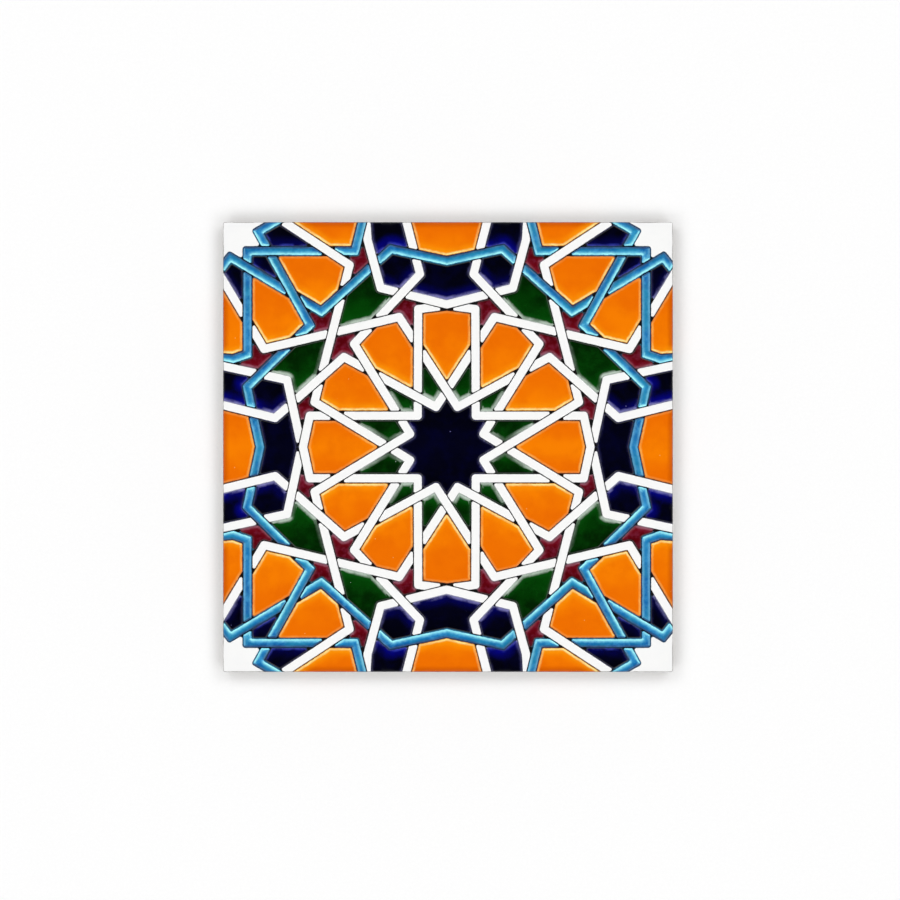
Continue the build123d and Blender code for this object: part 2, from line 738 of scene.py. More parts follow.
class FaceLayout:
    """The whole face as flat triangles, each known to be glaze of one kind or a dark line."""

    def __init__(self, size: TileSize, relief: Relief, network: Network) -> None:
        """Lays out the pools and cuts the face into triangles.

        Args:
            size: The tile's overall sizes.
            relief: The distances at which the pools have lines of points.
            network: The straps.
        """
        self.size, self.relief, self.network = size, relief, network
        self.middle = np.array([size.pattern_left, 0.0])
        self.lines: list[tuple[np.ndarray, bool]] = []
        self.walls: list[tuple[np.ndarray, np.ndarray, int]] = []
        self.draw_pools()
        self.tree = self.wall_tree()
        self.draw_border()
        self.spots, self.triangles, self.wall_edges = self.triangulated()
        self.regions = self.parted_regions()
        self.in_fields: set[int] = set()
        self.glazes = self.glaze_of_triangles()

    def draw_pools(self) -> None:
        """Draws the lines of points that follow the pools' edges."""
        relief = self.relief
        for is_strap, radius, further in (
            (True, relief.strap_round, relief.strap_steps),
            (False, relief.field_round, (relief.field_round,) + relief.field_steps),
        ):
            runs, bounds = self.network.outlines(radius)
            mine = (bounds >= 0) == is_strap
            for points, closed, bound in chains_of(runs[mine], bounds[mine]):
                for inset in relief.edge_steps:
                    line = cut_short(widened(points, closed, radius - inset), relief.step)
                    self.lines.append((line, inset == 0))
                    if inset == 0:
                        self.walls += [(a, b, bound) for a, b in zip(line[:-1], line[1:])]
            for inset in further:
                runs, bounds = self.network.outlines(inset)
                mine = (bounds >= 0) == is_strap
                self.lines += [(cut_short(run, relief.step), False) for run in runs[mine]]

    def draw_border(self) -> None:
        """Draws the lines of points along the tile's edge."""
        for inset in self.relief.arris_steps:
            line = self.border_line(inset)
            self.lines.append((np.concatenate([line, line[:1]]), False))

    def border_line(self, inset: float) -> np.ndarray:
        """Draws the tile's outline about the pattern's middle, moved in by an inset."""
        half, radius = self.size.side / 2 - inset, max(self.size.corner - inset, PLAY)
        return rounded_square(half, radius, math.ceil(self.size.side / self.relief.step)) + self.middle

    def wall_tree(self) -> BVHTree:
        """Stands a low wall on every pool's edge, to measure distances from.

        Returns:
            The walls, numbered as the edges' runs are.
        """
        corners = []
        for start, end, _ in self.walls:
            corners += [(*start, -1.0), (*end, -1.0), (*end, 1.0), (*start, 1.0)]
        return BVHTree.FromPolygons(corners, np.arange(len(corners)).reshape(-1, 4).tolist())

    def beside_wall(self, spot: np.ndarray | Point) -> tuple[float, Vector, int]:
        """Measures a spot against the nearest pool's edge.

        Args:
            spot: The place on the face.

        Returns:
            The distance, positive inside a pool, the edge's outward direction, and the pool's bound.
        """
        x, y = spot
        nearest, outward, index, distance = self.tree.find_nearest((x, y, 0.0))
        way = (nearest.x - x) * outward.x + (nearest.y - y) * outward.y
        return math.copysign(distance, way), outward, self.walls[index][2]

    def facing(self, outward: Vector, y: float) -> float:
        """Tells how much a pool's edge faces the level middle line: 1 fully, -1 the other way."""
        return -outward.y * min(max(y / LEVEL_REACH, -1.0), 1.0)

    def edge_frame(self, x: float, y: float) -> tuple[float, Point]:
        """Measures a spot against the tile's outline.

        Args:
            x: Across, from the tile's middle.
            y: Up, from there.

        Returns:
            How far inside the outline the spot lies, and the outline's outward direction there.
        """
        half, corner = self.size.side / 2, self.size.corner
        over_x, over_y = abs(x) - half + corner, abs(y) - half + corner
        if over_x > 0 and over_y > 0:
            reach = math.hypot(over_x, over_y)
            return corner - reach, (math.copysign(over_x / reach, x), math.copysign(over_y / reach, y))
        if abs(x) > abs(y):
            return half - abs(x), (math.copysign(1.0, x), 0.0)
        return half - abs(y), (0.0, math.copysign(1.0, y))

    def drop(self, x: float, y: float) -> float:
        """Gives how far the face has rolled down at a spot near the tile's edge."""
        short = max(self.relief.arris - self.edge_frame(x, y)[0], 0.0)
        return self.relief.arris - math.sqrt(max(self.relief.arris**2 - short**2, 0.0))

    def beside_white(self, spots: np.ndarray) -> np.ndarray:
        """Tells which spots have a white strap as their nearest.

        Args:
            spots: The places.

        Returns:
            Whether each spot has.
        """
        straps = self.network.straps
        white = np.array([strap.glaze is Glaze.WHITE for strap in straps])
        return white[np.array([strap.gap(spots) for strap in straps]).argmin(axis=0)]

    def fill_spots(self) -> list[Point]:
        """Spreads points over the middles of the large fields.

        Returns:
            The points, about the pattern's middle.
        """
        reach, step = self.size.side / 2, self.relief.step
        deepest = self.relief.field_steps[-1] + step / 3
        spots = []
        for row in range(int(2 * reach / step)):
            for column in range(int(2 * reach / step)):
                x, y = (column + 0.5 + 0.5 * (row % 2)) * step - reach, (row + 0.5) * step - reach
                spot = (x + self.middle[0], y + self.middle[1])
                if reach - max(abs(x), abs(y)) > step and self.beside_wall(spot)[0] > deepest:
                    spots.append(spot)
        return spots

    def triangulated(self) -> tuple[np.ndarray, np.ndarray, set[tuple[int, int]]]:
        """Cuts the face into triangles that keep to every line.

        Returns:
            The points as (count, 2) about the pattern's middle, the triangles, and the edges that
            lie in a wall, each with its lower point first.
        """
        reach = self.size.side / 2 + 1.0
        numbers: dict[Point, int] = {}
        edges: dict[tuple[int, int], bool] = {}
        for line, is_wall in self.lines:
            for start, end in zip(line[:-1], line[1:]):
                if min(np.abs(start - self.middle).max(), np.abs(end - self.middle).max()) > reach:
                    continue
                a, b = (numbers.setdefault(rounded(spot, 4), len(numbers)) for spot in (start, end))
                if a != b:
                    edge = (min(a, b), max(a, b))
                    edges[edge] = edges.get(edge, False) or is_wall
        for spot in self.fill_spots():
            numbers.setdefault(rounded(spot, 4), len(numbers))
        corners = [Vector(spot) for spot in numbers]
        corners, cuts, faces, _, origins, _ = delaunay_2d_cdt(corners, list(edges), [], 0, 1e-4, True)
        walls = list(edges.values())
        spots, triangles = np.array([tuple(v) for v in corners]), np.array(faces)
        outline, parts = self.border_line(0.0), np.array_split(spots[triangles].mean(axis=1), 10)
        triangles = triangles[np.concatenate([inside_polygon(part, outline) for part in parts])]
        used, compact = np.unique(triangles, return_inverse=True)
        number = {int(old): new for new, old in enumerate(used)}
        wall_edges = {
            (min(number[a], number[b]), max(number[a], number[b]))
            for (a, b), sources in zip(cuts, origins)
            if a in number and b in number and any(walls[k] for k in sources)
        }
        log.info("face: %d points, %d triangles", len(used), len(triangles))
        return spots[used], compact.reshape(-1, 3), wall_edges

    def glaze_of_triangles(self) -> list[Glaze | None]:
        """Names the glaze of every triangle, or None for a dark line.

        The walls part the face into regions, and the middle of a region's largest triangle tells
        what the region is.

        Returns:
            What each triangle is.
        """
        corners = self.spots[self.triangles]
        areas = np.abs(cross((corners[:, 1] - corners[:, 0]).T, (corners[:, 2] - corners[:, 0]).T))
        centres = corners.mean(axis=1)
        glazes: list[Glaze | None] = [None] * len(self.triangles)
        fields: dict[int, list[int]] = {}
        for region in self.regions:
            largest = max(region, key=lambda triangle: areas[triangle])
            depth, _, bound = self.beside_wall(centres[largest])
            if depth <= 0:
                continue
            for triangle in region:
                if bound >= 0:
                    glazes[triangle] = self.network.straps[bound].glaze
                else:
                    fields[triangle] = region
        for glaze, spots in FIELDS.items():
            for spot in spots:
                for quarter in Quarter:
                    for triangle in fields.get(self.triangle_at(np.array(quarter.value) * spot), ()):
                        glazes[triangle] = glaze
        self.in_fields.update(fields)
        return glazes

    def triangle_at(self, spot: np.ndarray) -> int:
        """Finds the triangle that holds a spot.

        Args:
            spot: The place.

        Returns:
            The triangle's number, or -1 if none holds it.
        """
        a, b, c = (self.spots[self.triangles[:, k]] for k in range(3))
        held = np.all([cross((q - p).T, (spot - p).T) >= 0 for p, q in ((a, b), (b, c), (c, a))], axis=0)
        found = np.nonzero(held)[0]
        return int(found[0]) if len(found) else -1

    def parted_regions(self) -> list[list[int]]:
        """Groups the triangles that can be reached from each other without crossing a wall.

        Returns:
            The triangles of each group.
        """
        by_edge: dict[tuple[int, int], list[int]] = {}
        edges_of = []
        for index, (a, b, c) in enumerate(self.triangles.tolist()):
            edges = [(min(edge), max(edge)) for edge in ((a, b), (b, c), (c, a))]
            edges_of.append([edge for edge in edges if edge not in self.wall_edges])
            for edge in edges_of[-1]:
                by_edge.setdefault(edge, []).append(index)
        seen: set[int] = set()
        regions = []
        for first in range(len(self.triangles)):
            if first in seen:
                continue
            seen.add(first)
            region, waiting = [], [first]
            while waiting:
                here = waiting.pop()
                region.append(here)
                for edge in edges_of[here]:
                    for there in by_edge[edge]:
                        if there not in seen:
                            seen.add(there)
                            waiting.append(there)
            regions.append(region)
        return regions


def rounded_rise(share: float) -> float:
    """Follows a quarter of a circle from 0 to 1: steep at first, level at the end."""
    share = min(max(share, 0.0), 1.0)
    return math.sqrt(1 - (1 - share) ** 2)


def eased(share: float) -> float:
    """Goes smoothly from 0 to 1."""
    share = min(max(share, 0.0), 1.0)
    return share * share * (3 - 2 * share)


@dataclass(frozen=True)
class SideCoat:
    """How the glaze ends on the tile's sides, in millimetres.

    Attributes:
        proud: How far the glaze stands out from the body there.
        line: Height at which the glaze usually ends.
        waver: How far that height goes up and down.
        drip: How far the longest drips run down below it.
        drip_pitch: Distance over which the drips come and go.
        waves: How many slow and quick wavers there are over that distance.
        dripless: How much of the noise behind the drips leads to none.
        lip: Height of the rounded lower edge.
        tuck: How far behind the side the closed back of the coat lies.
    """

    proud: float = 0.12
    line: float = 7.1
    waver: float = 0.35
    waves: Point = (0.6, 2.3)
    drip: float = 1.7
    drip_pitch: float = 7.0
    dripless: float = 0.22
    lip: float = 0.3
    tuck: float = 0.4

    def end_height(self, x: float, y: float) -> float:
        """Finds where the glaze ends on the side.

        Args:
            x: Across, from the tile's middle, at its edge.
            y: Up, from there.

        Returns:
            The height above the bedding plane.
        """
        place = Vector((x / self.drip_pitch, y / self.drip_pitch, 3.7))
        slow = noise.noise(place * self.waves[0])
        quick = noise.noise(place * self.waves[1] + Vector((9.1, 4.3, 0.0)))
        run = max(0.0, noise.noise(place + Vector((31.0, 17.0, 5.0))) - self.dripless) / 0.6
        return self.line + self.waver * (0.7 * slow + 0.3 * quick) - self.drip * eased(run)


@dataclass
class Modelled:
    """The points of one glaze's mesh while it is being put together.

    Attributes:
        points: Places in millimetres.
        faces: Corners of each face, seen counter-clockwise from outside.
        layers: Values kept on each point: its distance from its pool's edge, how much that edge
            faces the level middle line, its distance from edges that do, how far up its pool it
            lies, its distance in from the tile's own edge, negative down the side, whether the
            nearest strap is white, and whether it lies in a corner of the tile.
        tints: The points' colours, one after the other, where they have any.
    """

    points: list[tuple[float, float, float]] = field(default_factory=list)
    faces: list[tuple[int, ...]] = field(default_factory=list)
    layers: dict[str, list[float]] = field(default_factory=dict)
    tints: list[float] = field(default_factory=list)

    def add(self, point: tuple[float, float, float], **values: float) -> int:
        """Adds a point.

        Args:
            point: Its place.
            values: What each of its layers keeps there, the same layers for every point.

        Returns:
            The point's number.
        """
        self.points.append(point)
        for name, value in values.items():
            self.layers.setdefault(name, []).append(value)
        return len(self.points) - 1


class PooledGlaze:
    """All pools of one glaze, as closed bodies that stand in the dark lines' plane."""

    def __init__(self, glaze: Glaze, face: FaceLayout, sides: SideCoat) -> None:
        """Takes this glaze's share of the face.

        Args:
            glaze: Which glaze.
            face: The whole face.
            sides: How the glaze ends on the tile's sides.
        """
        self.glaze, self.face, self.sides = glaze, face, sides
        self.relief, self.size = face.relief, face.size
        mine = (region for region in face.regions if face.glazes[region[0]] is glaze)
        self.pools = [face.triangles[region].tolist() for region in mine]
        self.model = Modelled()

    def height(self, x: float, y: float, depth: float, bound: int) -> float:
        """Gives the height of the glaze at a spot.

        Args:
            x: Across, from the tile's middle.
            y: Up, from there.
            depth: Distance from the pool's edge.
            bound: The strap that the pool fills, or -1 for a field.

        Returns:
            The height above the bedding plane.
        """
        relief = self.relief
        rise = rounded_rise(depth / relief.meniscus)
        if bound >= 0:
            top, more = relief.strap_top, relief.crown * eased(depth / self.face.network.section.pool_half)
        else:
            top, more = relief.field_top, relief.swell * eased(depth / relief.swell_reach)
        broad, fine = relief.ripple_sizes
        ripple = noise.noise(Vector((x, y, 0.0)) / broad) + 0.5 * noise.noise(Vector((x, y, 7.0)) / fine)
        level = relief.rim + (top - relief.rim) * rise + more + relief.ripple * ripple * rise / 1.5
        return min(level, self.size.thickness) - self.face.drop(x, y)

    def model_pool(self, pool: list[list[int]]) -> None:
        """Makes one pool: its top, its walls and its flat underside.

        Args:
            pool: The pool's triangles on the face.
        """
        spots = {point: self.face.spots[point] - self.face.middle for triangle in pool for point in triangle}
        sides = {(t[k], t[(k + 1) % 3]) for t in pool for k in range(3)}
        rim = {a: b for a, b in sides if (b, a) not in sides}
        columns: dict[int, list[int]] = {}
        for point, (bound, values) in self.layers_of(spots, rim).items():
            x, y = (float(v) for v in spots[point])
            columns[point] = [self.model.add((x, y, self.height(x, y, values["depth"], bound)), **values)]
            if point in rim:
                self.lengthen(columns[point], x, y, values)
        self.model.faces += [tuple(columns[point][0] for point in triangle) for triangle in pool]
        self.close_below(rim, columns)

    def layers_of(self, spots: dict[int, np.ndarray],
                  rim: dict[int, int]) -> dict[int, tuple[int, dict[str, float]]]:
        """Works out what one pool's points keep in their layers.

        Args:
            spots: The points' places about the tile's middle.
            rim: Each point of the pool's rim, and the one after it.

        Returns:
            For each point the strap that the pool fills there, or -1, and what its layers keep.
        """
        face = self.face
        heights = [abs(float(spot[1])) for spot in spots.values()]
        near, far = min(heights), max(heights)
        walls = [(spots[a], spots[b]) for a, b in rim.items() if (min(a, b), max(a, b)) in face.wall_edges]
        fronts = self.front_gaps(np.array(list(spots.values())), np.array(walls))
        misty = face.beside_white(np.array([face.spots[point] for point in spots]))
        layers = {}
        start, whole = CORNER_REACH
        for point, front, mist in zip(spots, fronts, misty):
            x, y = (float(v) for v in spots[point])
            depth, outward, bound = face.beside_wall(face.spots[point])
            layers[point] = bound, {
                "depth": max(depth, 0.0), "facing": face.facing(outward, y), "front": float(front),
                "lie": (abs(y) - near) / max(far - near, 1.0), "edge": face.edge_frame(x, y)[0],
                "mist": float(mist), "corner": eased((min(abs(x), abs(y)) - start) / (whole - start)),
            }
        return layers

    def close_below(self, rim: dict[int, int], columns: dict[int, list[int]]) -> None:
        """Makes the walls and the undersides of one pool.

        Args:
            rim: Each point of the pool's rim, and the one after it. It is emptied.
            columns: For each point the numbers of the points from the top to the underside.
        """
        faces = self.model.faces
        for a, b in rim.items():
            ours, theirs = columns[a], columns[b]
            if len(ours) == len(theirs):
                for k in range(len(ours) - 1):
                    faces.append((theirs[k], ours[k], ours[k + 1], theirs[k + 1]))
            else:
                faces.append((theirs[0], *ours, *reversed(theirs[1:])))
        while rim:
            start, after = rim.popitem()
            loop = [columns[start][-1]]
            while after != start:
                loop.append(columns[after][-1])
                after = rim.pop(after)
            faces.append(tuple(reversed(loop)))

    def front_gaps(self, spots: np.ndarray, walls: np.ndarray) -> np.ndarray:
        """Measures how far spots lie from the pool's edges that face the level middle line.

        Args:
            spots: Places about the tile's middle.
            walls: The runs' ends of the pool's edge as (count, 2, 2), with the pool on their left.

        Returns:
            The distances. An edge counts as further off the less it faces that line.
        """
        starts, ends = walls[:, 0], walls[:, 1]
        across = (ends - starts)[:, 0] / np.linalg.norm(ends - starts, axis=1)
        facing = across * np.clip(walls[:, :, 1].mean(axis=1) / LEVEL_REACH, -1, 1)
        share = np.clip(facing / GLAZE_FINISHES[self.glaze].full_facing, 0, 1)
        averted = 1 - share * share * (3 - 2 * share)
        return (gaps_to_runs(spots, starts, ends) + AVERTED * averted).min(1)

    def lengthen(self, column: list[int], x: float, y: float, values: dict[str, float]) -> None:
        """Adds the points below one point of a pool's rim.

        Args:
            column: The rim point's number, which theirs are added to, down to the underside.
            x: Across, from the tile's middle.
            y: Up, from there.
            values: What the rim point's layers keep.
        """
        sides, top = self.sides, self.model.points[column[0]][2]
        under = self.relief.body_top - self.relief.sunk
        inset, out = self.face.edge_frame(x, y)
        if inset > PLAY / 2:
            column.append(self.model.add((x, y, under), **values))
            return
        end = sides.end_height(x, y)
        # Down the outside, round the lower lip and up behind it.
        levels = (
            (0.0, end + sides.lip + 0.25), (0.02, end + 0.5 * sides.lip), (0.5 * sides.proud, end),
            (sides.proud + 0.05, end - 0.02), (sides.tuck, end + 0.2), (sides.tuck, under),
        )
        for inward, height in levels:
            below = {**values, "edge": height - top}
            column.append(self.model.add((x - out[0] * inward, y - out[1] * inward, height), **below))

    def build(self) -> bpy.types.Object:
        """Makes the piece with all of this glaze's pools.

        Returns:
            The piece.
        """
        for pool in self.pools:
            self.model_pool(pool)
        return make_piece(f"{self.glaze.value}_glaze", self.model, smooth_to=48.0)


def linked(name: str, data: bpy.types.ID) -> bpy.types.Object:
    """Makes an object in the scene.

    Args:
        name: Its name.
        data: Its mesh, light or camera.

    Returns:
        The object.
    """
    made = bpy.data.objects.new(name, data)
    bpy.context.scene.collection.objects.link(made)
    return made


def make_piece(name: str, model: Modelled, smooth_to: float) -> bpy.types.Object:
    """Turns points and faces in millimetres into an object in metres.

    Args:
        name: The object's name.
        model: Its points, faces and values.
        smooth_to: Edges sharper than this many degrees stay creased.

    Returns:
        The object.
    """
    mesh = bpy.data.meshes.new(name)
    mesh.from_pydata((np.array(model.points) * MM).tolist(), [], model.faces)
    for layer, values in model.layers.items():
        mesh.attributes.new(layer, "FLOAT", "POINT").data.foreach_set("value", values)
    if model.tints:
        mesh.attributes.new("tint", "FLOAT_COLOR", "POINT").data.foreach_set("color", model.tints)
    mesh.validate()
    mesh.shade_smooth()
    mesh.set_sharp_from_angle(angle=math.radians(smooth_to))
    return linked(name, mesh)


@dataclass(frozen=True)
class BodySize:
    """Sizes of the fired body below the glaze, in millimetres and degrees.

    Attributes:
        band: Height of the upright band of the side, measured down from the face.
        draft: Lean of the side below that band.
        chamfer: Along the bottom edge.
        pockets: How many pockets there are along each side of the back.
        pocket_depth: How deep they are.
        pocket_corner: Radius of their corners.
        wall_lean: Lean of their walls from the upright.
        rib: Width of the ribs between them.
        border: Plain border between the outer pockets and the bottom edge.
        worn: How far the ribs' edges are eased by the die's wear.
        uneven: How far the side goes in and out from a true line.
        waves: Widths of that unevenness along the side and up it.
        wavy: Heights between which the side has it.
        step: The longest run along the side.
    """

    band: float = 5.0
    draft: float = 6.0
    chamfer: float = 0.5
    pockets: int = 6
    pocket_depth: float = 1.2
    pocket_corner: float = 2.5
    wall_lean: float = 30.0
    rib: float = 3.2
    border: float = 9.0
    worn: float = 0.22
    uneven: float = 0.05
    waves: Point = (11.0, 2.5)
    wavy: Point = (0.3, 8.0)
    step: float = 1.6


class BiscuitBody:
    """The fired body under the glaze: a slab with a keyed back."""

    def __init__(self, size: TileSize, body: BodySize, relief: Relief, sides: SideCoat) -> None:
        """Takes the sizes of the body and of the glaze on it."""
        self.size, self.body, self.relief, self.sides = size, body, relief, sides
        self.model = Modelled()

    @property
    def shoulder(self) -> float:
        """Height at which the side starts to lean in."""
        return self.size.thickness - self.body.band

    @property
    def skirt_inset(self) -> float:
        """How far the side has leaned in just above the chamfer."""
        return (self.shoulder - self.body.chamfer) * math.tan(math.radians(self.body.draft))

    @property
    def keyed_side(self) -> float:
        """Side of the square on the back that the pockets fill."""
        return self.size.side - 2 * (self.skirt_inset + self.body.chamfer + self.body.border)

    def ring(self, inset: float, height: float) -> list[int]:
        """Adds a line of points round the body.

        Args:
            inset: How far inside the face's edge the line runs.
            height: Above the bedding plane.

        Returns:
            The points' numbers, counter-clockwise.
        """
        half, (along, up), (lowest, highest) = self.size.side / 2, self.body.waves, self.body.wavy
        line = rounded_square(half - inset, self.size.corner, math.ceil(self.size.side / self.body.step))
        numbers = []
        for x, y in line:
            place = Vector((x / along, y / along, height / up))
            wave = noise.noise(place) if lowest < height < highest else 0.0
            shrink = 1 - self.body.uneven * (0.5 + wave) / half
            numbers.append(self.model.add((x * shrink, y * shrink, height)))
        return numbers

    def band_between(self, upper: list[int], lower: list[int]) -> None:
        """Spans two lines of points that go round the same way.

        Args:
            upper: The points' numbers of the line on the left of the faces' way round.
            lower: Those of the other line.
        """
        count = len(upper)
        for i in range(count):
            j = (i + 1) % count
            self.model.faces.append((upper[i], lower[i], lower[j], upper[j]))

    def model_sides(self) -> list[int]:
        """Makes the top and the sides.

        Returns:
            The points along the bottom edge.
        """
        proud, shoulder, lean, chamfer = self.sides.proud, self.shoulder, self.skirt_inset, self.body.chamfer
        roll = self.relief.arris - proud
        under_arris = self.relief.body_top - self.relief.sunk / 2 - roll
        # Over the arris, down the upright band, down the leaning skirt and round the chamfer.
        steps = [
            (proud + roll * (1 - math.sin(a)), under_arris + roll * math.cos(a))
            for a in (0.0, math.pi / 6, math.pi / 3, math.pi / 2)
        ]
        steps += [(proud, under_arris + (shoulder - under_arris) * k / 5) for k in range(1, 6)]
        for share in (1 / 3, 2 / 3, 1.0):
            steps.append((proud + (lean - proud) * share, shoulder + (chamfer - shoulder) * share))
        steps += [(lean + 0.45 * chamfer, 0.4 * chamfer), (lean + chamfer, 0.0)]
        rings = [self.ring(inset, height) for inset, height in steps]
        self.model.faces.append(tuple(rings[0]))
        for upper, lower in zip(rings[:-1], rings[1:]):
            self.band_between(upper, lower)
        return rings[-1]

    def pocket_loops(self, middle: Point) -> list[list[int]]:
        """Adds the lines of points that lead into one pocket.

        Args:
            middle: The pocket's middle.

        Returns:
            The points' numbers of each line, from the back's plane to the pocket's floor.
        """
        body = self.body
        mouth = (self.keyed_side - (body.pockets - 1) * body.rib) / body.pockets
        lean, floor, worn = math.tan(math.radians(body.wall_lean)), body.pocket_depth, body.worn
        # Insets and heights, those of the foot from where the wall would meet the floor.
        eased_mouth = [(-worn, 0.0), (-0.35 * worn, 0.3 * worn), (worn * lean, worn)]
        hollow_foot = [(-0.25 * lean, -0.25), (0.05, -0.06), (0.3, 0.0)]
        loops = []
        for inset, height in eased_mouth + [(lean * floor + a, floor + b) for a, b in hollow_foot]:
            line = rounded_square(mouth / 2 - inset, body.pocket_corner - inset, 5) + np.array(middle)
            loops.append([self.model.add((float(x), float(y), height)) for x, y in line])
        return loops

    def model_back(self, edge: list[int]) -> None:
        """Makes the keyed back inside the bottom edge.

        Args:
            edge: The points along the bottom edge.
        """
        model, body = self.model, self.body
        pitch = (self.keyed_side + body.rib) / body.pockets
        first = -(body.pockets - 1) / 2 * pitch
        lines, mouths = [edge], []
        for row in range(body.pockets):
            for column in range(body.pockets):
                loops = self.pocket_loops((first + column * pitch, first + row * pitch))
                for outer, inner in zip(loops[:-1], loops[1:]):
                    self.band_between(outer, inner)
                model.faces.append(tuple(reversed(loops[-1])))
                lines.append(loops[0])
                mouths.append(np.array([model.points[n][:2] for n in loops[0]]))
        numbers = [number for line in lines for number in line]
        place = {number: k for k, number in enumerate(numbers)}
        corners = [Vector(model.points[number][:2]) for number in numbers]
        edges = [(place[a], place[b]) for line in lines for a, b in zip(line, line[1:] + line[:1])]
        corners, _, triangles, origins, _, _ = delaunay_2d_cdt(corners, edges, [], 1, 1e-5, True)
        source = [numbers[sources[0]] for sources in origins]
        flat = np.array([tuple(v) for v in corners])
        for a, b, c in triangles:
            centre = (flat[a] + flat[b] + flat[c])[None] / 3
            if not any(inside_polygon(centre, mouth)[0] for mouth in mouths):
                model.faces.append((source[c], source[b], source[a]))

    def build(self) -> bpy.types.Object:
        """Makes the piece with its sides and its back."""
        self.model_back(self.model_sides())
        return make_piece("biscuit_body", self.model, smooth_to=38.0)


def linear(code: str) -> tuple[float, float, float, float]:
    """Turns a colour code into the values that a shader takes.

    Args:
        code: Two hexadecimal digits each for red, green and blue, such as F77C00.

    Returns:
        The linear red, green and blue, and 1 for the alpha.
    """
    parts = [int(code[k:k + 2], 16) / 255 for k in (0, 2, 4)]
    red, green, blue = (p / 12.92 if p <= 0.04045 else ((p + 0.055) / 1.055) ** 2.4 for p in parts)
    return (red, green, blue, 1.0)


Value = float | tuple[float, ...] | bpy.types.NodeSocket


class Nodes:
    """A tree of nodes, with short ways to add to it."""

    def __init__(self, owner: bpy.types.Material | bpy.types.World, shader: str) -> None:
        """Takes the tree of a material or of the world around.

        Args:
            owner: The material or the world.
            shader: Name of the shader that the tree starts with.
        """
        owner.use_nodes = True
        self.tree = owner.node_tree
        self.shader = self.tree.nodes[shader]

    def node(self, kind: str, inputs: dict[str | int, Value], **settings: object) -> bpy.types.Node:
        """Adds a node.

        Args:
            kind: Blender's name of the node's type.
            inputs: Values or other nodes' outputs, by the input's name or number.
            settings: The node's own settings.

        Returns:
            The new node.
        """
        made = self.tree.nodes.new(kind)
        for key, setting in settings.items():
            setattr(made, key, setting)
        for key, value in inputs.items():
            self.feed(made.inputs[key], value)
        return made

    def feed(self, socket: bpy.types.NodeSocket, value: Value) -> None:
        """Gives an input its value.

        Args:
            socket: The input.
            value: Another node's output, which is linked to it, or a plain value.
        """
        if isinstance(value, bpy.types.NodeSocket):
            self.tree.links.new(value, socket)
        else:
            socket.default_value = value

    def surface(self, inputs: dict[str, Value]) -> None:
        """Gives the shader's own inputs, by name, their values."""
        for name, value in inputs.items():
            self.feed(self.shader.inputs[name], value)

    def sum(self, a: Value, b: Value, kind: str = "ADD") -> bpy.types.NodeSocket:
        """Works out a sum, or another sum of two numbers as Blender names it."""
        return self.node("ShaderNodeMath", {0: a, 1: b}, operation=kind).outputs[0]

    def times(self, *values: Value) -> Value:
        """Multiplies numbers."""
        return reduce(lambda a, b: self.sum(a, b, "MULTIPLY"), values)


